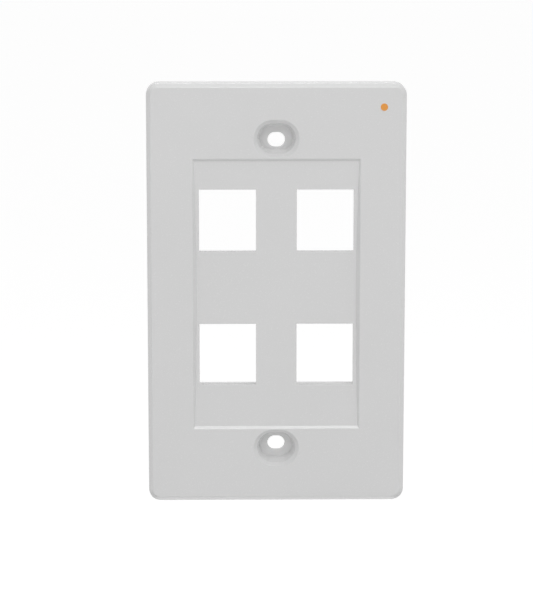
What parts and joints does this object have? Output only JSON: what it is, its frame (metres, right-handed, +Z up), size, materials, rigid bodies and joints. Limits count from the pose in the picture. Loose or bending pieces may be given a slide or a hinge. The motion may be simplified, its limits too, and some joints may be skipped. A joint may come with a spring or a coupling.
{
  "type": "keystone faceplate",
  "caption": "Single-gang wall plate with a sunk panel of keystone ports and recessed slots for the box screws.",
  "frame": {"origin": "centre of the plate on the wall plane, where the rim's back edge lies", "axes": "+Z up the plate's height as it hangs, +X to the right seen from the front, +Y into the wall"},
  "size_m": [0.0698, 0.0114, 0.1142],
  "materials": {
    "plastic": "fine satin moulded plastic, light grey-white",
    "dot_ink": "flat orange printed ink"
  },
  "bodies": {
    "root": {"faceplate": "plastic", "colour_dot": "dot_ink"}
  },
  "joints": []
}
